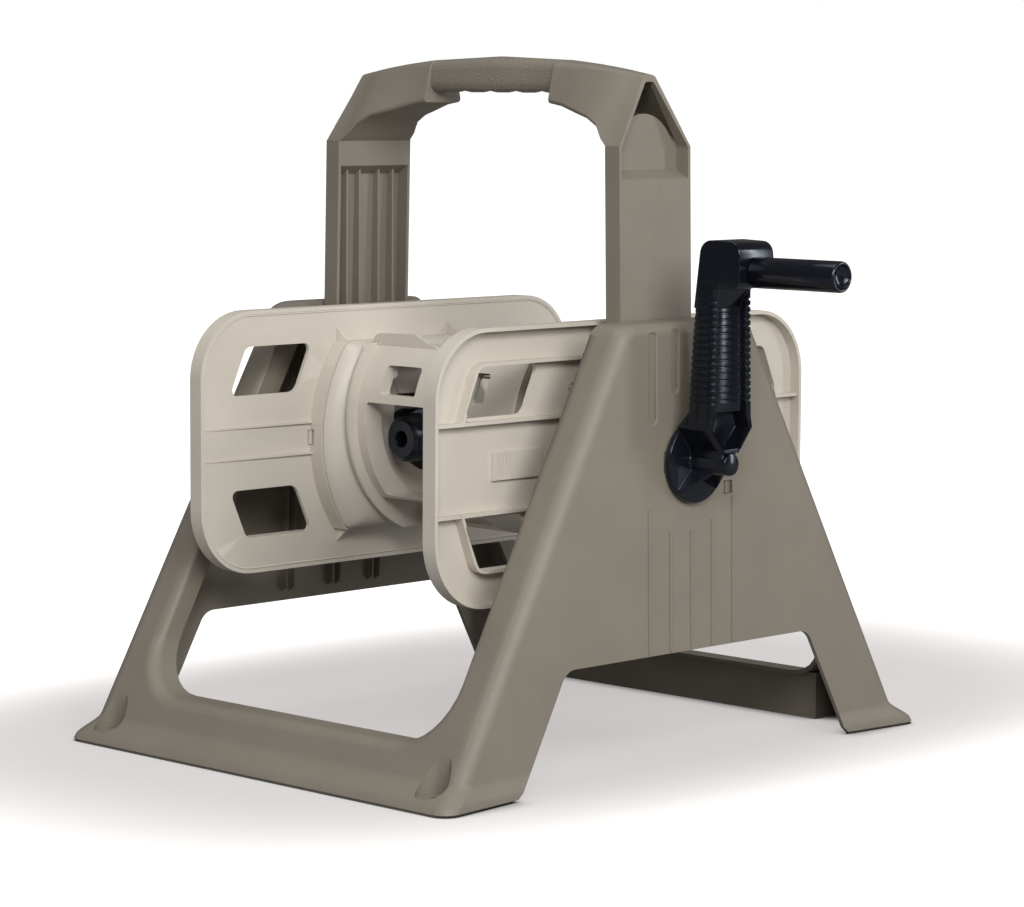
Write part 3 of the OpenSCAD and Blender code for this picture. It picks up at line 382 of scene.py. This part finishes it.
def turned(bm, profile, z=0.0, steps=64):
    """A round solid: a profile of places along X and radii, spun about the line along X at height z."""
    corners = [bm.verts.new(Vector((x, 0, z + radius)) * MM) for x, radius in profile]
    sides = [bm.edges.new(pair) for pair in zip(corners, corners[1:])]
    bmesh.ops.spin(bm, geom=corners + sides, cent=Vector((0, 0, z)) * MM, axis=(1, 0, 0),
                   angle=math.tau, steps=steps, use_merge=True)


def lofted(bm, rings, around=False):
    """A closed skin through rings of equal numbers of points, with flat ends or going around."""
    loops = []
    for ring in rings:
        corners = [bm.verts.new(Vector(point) * MM) for point in ring]
        loops.append([bm.edges.new(pair) for pair in zip(corners, corners[1:] + corners[:1])])
    for first, second in zip(loops, loops[1:] + loops[:1] if around else loops[1:]):
        bmesh.ops.bridge_loops(bm, edges=first + second)
    if not around:
        for end in (loops[0], loops[-1]):
            bmesh.ops.edgeloop_fill(bm, edges=end)


def closed_up(bm):
    """Merges doubles and turns all faces outwards."""
    bmesh.ops.remove_doubles(bm, verts=bm.verts, dist=1e-6)
    bmesh.ops.recalc_face_normals(bm, faces=bm.faces)
    return bm


def turn_outwards(bm, before):
    """Turns the faces outwards that were added since the vertices in before."""
    bmesh.ops.recalc_face_normals(bm, faces=[face for face in bm.faces if face.verts[0] not in before])


def bevelled(bm, edges, width, segments, clamp):
    """Rounds edges by a width in millimetres."""
    bmesh.ops.bevel(bm, geom=edges, offset=width * MM, offset_type="OFFSET", segments=segments, profile=0.5,
                    affect="EDGES", clamp_overlap=clamp, material=-1)


def soften(bm, width, segments, chosen):
    """Rounds the sharp edges that chosen picks by their middle."""
    picked = []
    for edge in bm.edges:
        if len(edge.link_faces) == 2 and edge.calc_face_angle(0) >= math.radians(25):
            first, second = (corner.co for corner in edge.verts)
            if chosen((first + second) / 2 / MM):
                picked.append(edge)
    bevelled(bm, picked, width, segments, False)


def line_on(bm, first, second, radius=1.4):
    """A fine raised line with a rounded back, between two places on an outer face."""
    lofted(bm, [[(x + radius * math.cos(turn), y + radius * math.sin(turn), z) for turn in circle(12)]
                for x, y, z in (first, second)])


# Base and handle

LOWEST_LINE = 91
LINE_TOPS = (199, 181, 179, 186, 202)
LINE_PITCH = 23.6
SLOT_PLACES = (17.7, 42.48)
FLARE_TOP, FLARE_LOW, FLARE_OUT = 20, 3, 7
EDGE_DRAWN_IN = 3
WEB_LOW, WEB_HIGH = (36.2, 204.1), (46.8, 213.9)
LEG_LINE_Y, LEG_LINE_LOW, LEG_LINE_HIGH = 3.5, 342, 441


def panel_face(z):
    """Distance of a side panel's outer face from the middle."""
    return PANEL_X - PANEL_LEAN * z


def on_opening(middle):
    """Whether an edge is on the rim of the front or rear opening."""
    from_face = abs(middle.y) - (FOOT_Y - (FOOT_Y - TOP_Y) * middle.z / PANEL_TOP)
    return abs(from_face) < 0.6 and 38.5 < middle.z < 322 and abs(middle.x) < 166


def on_slot(middle):
    """Whether an edge is on the rim of a recessed slot of a side panel."""
    from_face = abs(middle.x) - panel_face(middle.z)
    return abs(from_face) < 0.4 and 258 < middle.z < 331 and any(
        abs(abs(middle.y) - y) < 4.3 for y in SLOT_PLACES)


def straighten_feet(bm):
    """Takes the sideways flare away beside the arches, and keeps it at the toes."""
    for corner in bm.verts:
        x, y, z = corner.co / MM
        if z < FLARE_TOP and abs(x) > 190 and abs(y) < 240:
            turn = math.pi * max(0, (z - FLARE_LOW) / (FLARE_TOP - FLARE_LOW))
            flare = FLARE_OUT * (1 + math.cos(turn)) / 2
            straight = min(1, (240 - abs(y)) / 35)
            corner.co.x -= math.copysign(flare * straight, x) * MM


def draw_in_lowest_edge(bm):
    """Draws the lowest edge in below a thin lip, which leaves a dark line above the floor."""
    for corner in bm.verts:
        x, y, z = corner.co / MM
        if z < 0.5:
            if abs(x) > 195:
                corner.co.x -= math.copysign(EDGE_DRAWN_IN, x) * MM
            if abs(y) > 225:
                corner.co.y -= math.copysign(EDGE_DRAWN_IN, y) * MM
        elif 2.4 < z < 3.6:
            corner.co.z -= MM


def base_shape(node):
    """The base with rounded openings and slots, straight feet and the fine lines up its panels."""
    bm = merged(node)
    soften(bm, 8, 5, on_opening)
    soften(bm, 1.3, 3, on_slot)
    straighten_feet(bm)
    draw_in_lowest_edge(bm)
    before = set(bm.verts)
    for side in (-1, 1):
        for index, top in enumerate(LINE_TOPS):
            y = (index - 2) * LINE_PITCH
            line_on(bm, *[(side * panel_face(z), y, z) for z in (LOWEST_LINE, top)])
    # Web behind the wide hook's slot
    prism(bm, rectangle(WEB_LOW, WEB_HIGH), "x", 196, 197)
    turn_outwards(bm, before)
    return bm


def handle_shape(node):
    """The handle with the fine line down each leg's outer face."""
    bm = merged(node)
    before = set(bm.verts)
    for side in (-1, 1):
        line_on(bm, (side * (LEG_OUT + 0.7), LEG_LINE_Y, LEG_LINE_LOW),
                (side * (LEG_OUT - 0.5), LEG_LINE_Y, LEG_LINE_HIGH), 0.9)
    turn_outwards(bm, before)
    return bm


# Reel

BEAD_INSET, BEAD_RADIUS = 3.8, 0.8
BRACKET = [(-98, 302), (-97.5, 308), (-93.5, 313), (-88, 314.5), (-49, 315.5), (-36, 309.5), (-27, 307),
           (-18, 302)]
BRACKET_RADII = [0.5, 2, 3, 3, 4, 5, 3, 0.5]
BRACKET_FRONT, BRACKET_BACK = -47.5, -45.3
SKIRT_CURVE = [(0.0, 0.0), (0.05, 0.03), (0.11, 0.10), (0.18, 0.22), (0.26, 0.38), (0.35, 0.54),
               (0.46, 0.70), (0.58, 0.82), (0.72, 0.91), (0.87, 0.97), (0.97, 1.0), (1.0, 0.965)]
SKIRT_CLEAR, SKIRT_INSET, SKIRT_DEPTH = 0.05, 0.9, 4
NUT_Y, NUT_RIBS, NUT_PITCH = -51, 6, 3.4


def flange_shape(node):
    """A flange with the fine bead that follows the edge of its winding face."""
    bm = merged(node)
    side = 1 if node == "crank_side_flange" else -1
    high = FLANGE_HALF_Y - BEAD_INSET, FLANGE_HALF_Z - BEAD_INSET
    outline = rounded_outline(rectangle((-high[0], -high[1]), high), [FLANGE_CORNER - BEAD_INSET] * 4, 12)
    rings = []
    for index, (y, z) in enumerate(outline):
        along = Vector(outline[(index + 1) % len(outline)]) - Vector(outline[index - 1])
        across = Vector((along.y, -along.x)).normalized() * BEAD_RADIUS
        rings.append([(side * FLANGE_IN + BEAD_RADIUS * math.sin(turn), y + across.x * math.cos(turn),
                       AXIS_Z + z + across.y * math.cos(turn)) for turn in circle(8)])
    before = set(bm.verts)
    lofted(bm, rings, around=True)
    turn_outwards(bm, before)
    return bm


def add_bracket(bm):
    """The low wall with sloping ends that stands on the shells' seam."""
    before = set(bm.verts)
    prism(bm, rounded_outline(BRACKET, BRACKET_RADII, 3), "y", BRACKET_FRONT, BRACKET_BACK)
    turn_outwards(bm, before)


def shell_shape(node):
    """A drum shell without its end bands, which the skirts stand for."""
    bm = merged(node)
    for end in (-1, 1):
        cut = bmesh.ops.bisect_plane(bm, geom=bm.verts[:] + bm.edges[:] + bm.faces[:], dist=1e-7,
                                     plane_co=(end * (SKIRT_IN + 0.2) * MM, 0, 0), plane_no=(end, 0, 0),
                                     clear_outer=True)
        rim = [part for part in cut["geom_cut"] if isinstance(part, bmesh.types.BMEdge)]
        bmesh.ops.triangle_fill(bm, use_beauty=True, use_dissolve=True, edges=rim, normal=(end, 0, 0))
    if node == "front_drum_shell":
        add_bracket(bm)
    return bm


def drum_reach(turn):
    """Distance from the axis to the drum's outline in the direction turn, from +Y towards +Z."""
    way = Vector((math.cos(turn), math.sin(turn)))
    reaches = [DRUM_TOP / max(abs(way.y), 1e-6)]
    for centre in (DRUM_CENTRE, -DRUM_CENTRE):
        along = centre.dot(way)
        reaches.append(along + math.sqrt(DRUM_RADIUS ** 2 - centre.length_squared + along ** 2))
    return min(reaches)


def collar_reach(turn):
    """Distance from the axis to the flange collar's outline."""
    way = Vector((math.cos(turn), math.sin(turn)))
    arc = -COLLAR_OFFSET * abs(way.x) + math.sqrt(COLLAR_RADIUS ** 2 - (COLLAR_OFFSET * way.y) ** 2)
    return min(COLLAR_TOP / max(abs(way.y), 1e-6), arc)


def skirt_shape(side):
    """The soft S-shaped skirt between a flange's collar and the drum."""
    turns = circle(144)
    rings = []
    for along, rise in SKIRT_CURVE:
        ring = []
        for turn in turns:
            low = drum_reach(turn) + SKIRT_CLEAR
            reach = low + (collar_reach(turn) - SKIRT_INSET - low) * rise
            ring.append((side * (SKIRT_IN + along * (SKIRT_OUT - SKIRT_IN)), reach * math.cos(turn),
                         AXIS_Z + reach * math.sin(turn)))
        rings.append(ring)
    for x in (side * SKIRT_OUT, side * SKIRT_IN):
        inner = [(turn, drum_reach(turn) - SKIRT_DEPTH) for turn in turns]
        rings.append([(x, reach * math.cos(turn), AXIS_Z + reach * math.sin(turn)) for turn, reach in inner])
    bm = bmesh.new()
    lofted(bm, rings, around=True)
    return closed_up(bm)


def outlet_shape(node):
    """The outlet tube with its elbow and a ribbed coupling nut on its mouth."""
    bm = merged(node)
    profile = [(0, 7), (0, 14.5), (0.8, 15.6)]
    for index in range(NUT_RIBS):
        low = 1.6 + index * NUT_PITCH
        profile += [(low, 16.6), (low + 1.2, 18), (low + 2.2, 18), (low + 3.2, 16.6)]
    profile += [(22.6, 15.6), (23.4, 14.5), (23.4, 10.5)]
    before = set(bm.verts)
    turned(bm, profile)
    nut = [corner for corner in bm.verts if corner not in before]
    turn_outwards(bm, before)
    bmesh.ops.rotate(bm, verts=nut, cent=(0, 0, 0), matrix=Matrix.Rotation(math.radians(90), 3, "Z"))
    bmesh.ops.translate(bm, verts=nut, vec=Vector((ELBOW_X, NUT_Y, AXIS_Z)) * MM)
    return bm


# Crank

ARM_RIM, FLARE_RIM = 6.2, 2.6
TROUGH, DEEP_TROUGH, NO_TROUGH = 9, 17, 0.3
GROOVES, GROOVE_PITCH, GROOVE_DEPTH = 16, 5, 0.85
BLOCK_HALF = 20.8
TAPER_LOW, TAPER_HEIGHT, TAPER = 131, 36, 0.09


def arm_ring(z, half, back, front, rim, depth, shrink):
    """One level of the crank arm: a rounded channel that is open outwards."""
    half -= shrink
    front -= shrink
    inner = half - rim
    floor_x = front - depth
    side = [(back, 0), (back, half - 4), (back + 1.2, half - 1.2), (back + 4, half), (front - 4.5, half),
            (front - 2, half - 0.7), (front - 0.6, half - 2), (front, half - rim * 0.5),
            (front - min(0.8, depth * 0.2), inner + 0.9), (front - min(2.6, depth * 0.5), inner),
            (floor_x + min(2.5, depth * 0.3), inner - 0.8), (floor_x + min(0.9, depth * 0.1), inner * 0.72),
            (floor_x, inner * 0.4), (floor_x - min(0.4, depth * 0.05), 0)]
    ring = side + [(x, -y) for x, y in reversed(side[1:-1])]
    return [(x, y, AXIS_Z + z) for x, y in ring]


def arm_half(z):
    """Half of the arm's width at a height above the axis."""
    return 9 + (z - 9) * 14.7 / 17.5 if z < 26.5 else 23.7 - (z - 26.5) * 2.4 / 105


def arm_back(z):
    """Place of the arm's back along X at a height above the axis."""
    return 213.8 + max(0, z - 30) * 0.038 if z < 90 else 216.1 + (z - 90) * 0.075


def add_arm(bm):
    """The flared trough with its grip ridges, and its foot on the disc."""
    levels = [(8.6, NO_TROUGH, 0), (11.5, NO_TROUGH, 0), (13, DEEP_TROUGH, 0), (26.5, DEEP_TROUGH, 0),
              (36.5, DEEP_TROUGH, 0), (38.5, 9.6, 0), (45, TROUGH, 0)]
    for index in range(GROOVES):
        low = 46 + index * GROOVE_PITCH
        levels += [(low, TROUGH, 0), (low + 0.5, TROUGH, GROOVE_DEPTH), (low + 1.5, TROUGH, GROOVE_DEPTH),
                   (low + 2.0, TROUGH, 0)]
    levels += [(125, TROUGH, 0), (128, 7, 0), (130.5, 3, 0), (132, NO_TROUGH, 0), (136, NO_TROUGH, 0)]
    lofted(bm, [arm_ring(z, arm_half(z), arm_back(z), ARM_OUT, FLARE_RIM if z < 30 else ARM_RIM, depth,
                         shrink) for z, depth, shrink in levels])
    foot = [(4, 8.6, DISC_OUT - 1, 234), (8.6, 8.8, DISC_OUT - 1, ARM_OUT - 3), (12, 11, DISC_OUT - 1, 222),
            (27, 23.4, DISC_OUT - 1, 221), (38, 23, 214.5, 221)]
    lofted(bm, [[(x, y, AXIS_Z + z)
                 for x, y in rounded_outline(rectangle((back, -half), (front, half)), [1] * 4, 3)]
                for z, half, back, front in foot])


def add_block(bm):
    """The block under the grip, which narrows upwards."""
    outline = rounded_outline([(217.5, 116), (232, 116), (239, 131.5), (BLOCK_OUT, 131.5),
                               (BLOCK_OUT - 1, 165.6), (222.4, 166.8)], [1, 1, 2, 5, 9, 10], 6)
    corners = prism(bm, [(x, AXIS_Z + z) for x, z in outline], "y", -BLOCK_HALF, BLOCK_HALF)
    for corner in corners:
        corner.co.y *= 1 - TAPER * max(0, corner.co.z / MM - AXIS_Z - TAPER_LOW) / TAPER_HEIGHT
    rims = {edge for corner in corners for edge in corner.link_edges if abs(edge.verts[0].co.y) > 15 * MM
            and (edge.verts[0].co.y > 0) == (edge.verts[1].co.y > 0)}
    bevelled(bm, list(rims), 4, 5, True)


def add_hub(bm):
    """The disc, boss, journal and square key, and two thin webs from the boss to the disc."""
    turned(bm, [(DISC_IN, 0), (DISC_IN, 30.9), (DISC_IN + 0.6, 31.5), (DISC_OUT - 1.4, 31.5),
                (DISC_OUT - 0.4, 31.1), (DISC_OUT, 30.1), (DISC_OUT, 0)], AXIS_Z, 96)
    turned(bm, [(DISC_OUT - 1, 0), (DISC_OUT - 1, 10.6), (DISC_OUT + 0.5, 9.3), (DISC_OUT + 2, 8.7),
                (ARM_OUT - 1.4, 8.5), (ARM_OUT - 0.4, 8.1), (ARM_OUT, 7.2), (ARM_OUT, 0)], AXIS_Z)
    turned(bm, [(153, 0), (153, 15), (154, 16), (DISC_IN + 1, 16), (DISC_IN + 1, 0)], AXIS_Z)
    prism(bm, rectangle((-10, AXIS_Z - 10), (10, AXIS_Z + 10)), "x", 118.7, 154)
    for angle in (135, 225):
        corners = prism(bm, [(DISC_OUT - 1, 4), (ARM_OUT - 10, 4), (ARM_OUT - 10, 8), (DISC_OUT + 1.6, 29.5),
                             (DISC_OUT - 1, 29.5)], "y", -1, 1)
        bmesh.ops.rotate(bm, verts=corners, cent=(0, 0, 0),
                         matrix=Matrix.Rotation(math.radians(angle), 3, "X"))
        bmesh.ops.translate(bm, verts=corners, vec=(0, 0, AXIS_Z * MM))


def crank_arm_shape():
    bm = bmesh.new()
    add_arm(bm)
    add_block(bm)
    add_hub(bm)
    return closed_up(bm)


def crank_grip_shape():
    """The turned grip with a shallow cone in its end."""
    bm = bmesh.new()
    turned(bm, [(261.16, 0), (261.16, 10.6), (261.5, 11.2), (262.2, 11.5), (338.2, 11.5), (339.8, 11.2),
                (340.5, 10.5), (340.66, 9.8), (340.4, 9.2), (339.5, 8.8), (338.4, 8.2), (337.6, 7.4),
                (334.6, 0)], AXIS_Z + GRIP_AXIS, 96)
    return closed_up(bm)


# The whole object

# Nodes that are copied with rounded edges, and the width of their rounding
ROUNDINGS = {
    "base_frame": 0.8, "carry_handle": 0.7, "crank_side_bushing": 0.4, "inlet_side_bushing": 0.4,
    "inlet_tube": 0.4, "crank_side_flange": 0.6, "inlet_side_flange": 0.6, "front_drum_shell": 0.5,
    "rear_drum_shell": 0.5, "flange_latches": 0.25, "outlet_tube": 0.4, "tube_lock_nut": 0.4,
    "grip_pin": 0.4, "flange_screws": 0.3, "handle_screws": 0.3, "inlet_screws": 0.3,
}
SHAPES = {
    "base_frame": base_shape, "carry_handle": handle_shape, "crank_side_flange": flange_shape,
    "inlet_side_flange": flange_shape, "front_drum_shell": shell_shape, "rear_drum_shell": shell_shape,
    "outlet_tube": outlet_shape,
}

for node, made in frame["nodes"].items():
    made.data.materials.clear()
    made.data.materials.append(finish_of(node))
    made.data.shade_smooth()

for node, width in ROUNDINGS.items():
    shape = SHAPES.get(node, merged)
    rounded_edges(piece("soft_" + node, shape(node), node, node), width)
piece("crank_arm_body", crank_arm_shape(), "crank_arm", "crank_arm", smooth=38)
piece("crank_grip_body", crank_grip_shape(), "crank_grip", "crank_grip")
for side, name in ((-1, "inlet_side_drum_skirt"), (1, "crank_side_drum_skirt")):
    rounded_edges(piece(name, skirt_shape(side), "front_drum_shell"), 0.3)


# Floor, lights and camera

def area_light(name, place, size, power):
    data = bpy.data.lights.new(name, "AREA")
    data.shape = "RECTANGLE"
    data.size, data.size_y = size
    data.energy = power
    lamp = bpy.data.objects.new(name, data)
    bpy.context.scene.collection.objects.link(lamp)
    lamp.location = place
    lamp.rotation_euler = (LIGHT_AIM - Vector(place)).to_track_quat("-Z", "Y").to_euler()


def floor():
    bm = bmesh.new()
    bmesh.ops.create_grid(bm, x_segments=1, y_segments=1, size=FLOOR_HALF)
    mesh = bpy.data.meshes.new("floor")
    bm.to_mesh(mesh)
    bm.free()
    mesh.materials.append(floor_surface("floor_surface"))
    made = bpy.data.objects.new("floor", mesh)
    bpy.context.scene.collection.objects.link(made)


def world():
    """Surroundings that look white, light softly and are dim in reflections."""
    sky = bpy.data.worlds.new("studio")
    sky.use_nodes = True
    add = node_adder(sky.node_tree)
    strength = ranged(add, add("LightPath").outputs["Is Glossy Ray"], 0, 1, WORLD_LIGHT, WORLD_SHEEN)
    light = add("Background", {"Strength": strength}, Color=opaque(WHITE))
    backdrop = add("Background", Color=opaque(WHITE))
    mix = add("MixShader", {0: seen_directly(add), 1: light.outputs[0], 2: backdrop.outputs[0]})
    add("OutputWorld", {"Surface": mix.outputs[0]})
    bpy.context.scene.world = sky


def camera():
    back = Vector((math.sin(CAMERA_AZIMUTH) * math.cos(CAMERA_ELEVATION),
                   -math.cos(CAMERA_AZIMUTH) * math.cos(CAMERA_ELEVATION), math.sin(CAMERA_ELEVATION)))
    level = Vector((math.cos(CAMERA_AZIMUTH), math.sin(CAMERA_AZIMUTH), 0))
    upright = back.cross(level)
    right = level * math.cos(CAMERA_ROLL) + upright * math.sin(CAMERA_ROLL)
    up = upright * math.cos(CAMERA_ROLL) - level * math.sin(CAMERA_ROLL)
    data = bpy.data.cameras.new("camera")
    data.sensor_width = SENSOR_WIDTH
    data.lens = FOCAL_PIXELS / IMAGE_WIDTH * SENSOR_WIDTH
    made = bpy.data.objects.new("camera", data)
    bpy.context.scene.collection.objects.link(made)
    turn = Matrix((right, up, back)).transposed().to_4x4()
    made.matrix_world = Matrix.Translation(CAMERA_TARGET + back * CAMERA_DISTANCE) @ turn
    bpy.context.scene.camera = made


floor()
world()
for name, (place, size, power) in LIGHTS.items():
    area_light(name, place, size, power)
camera()
bpy.context.scene.view_settings.view_transform = "Standard"
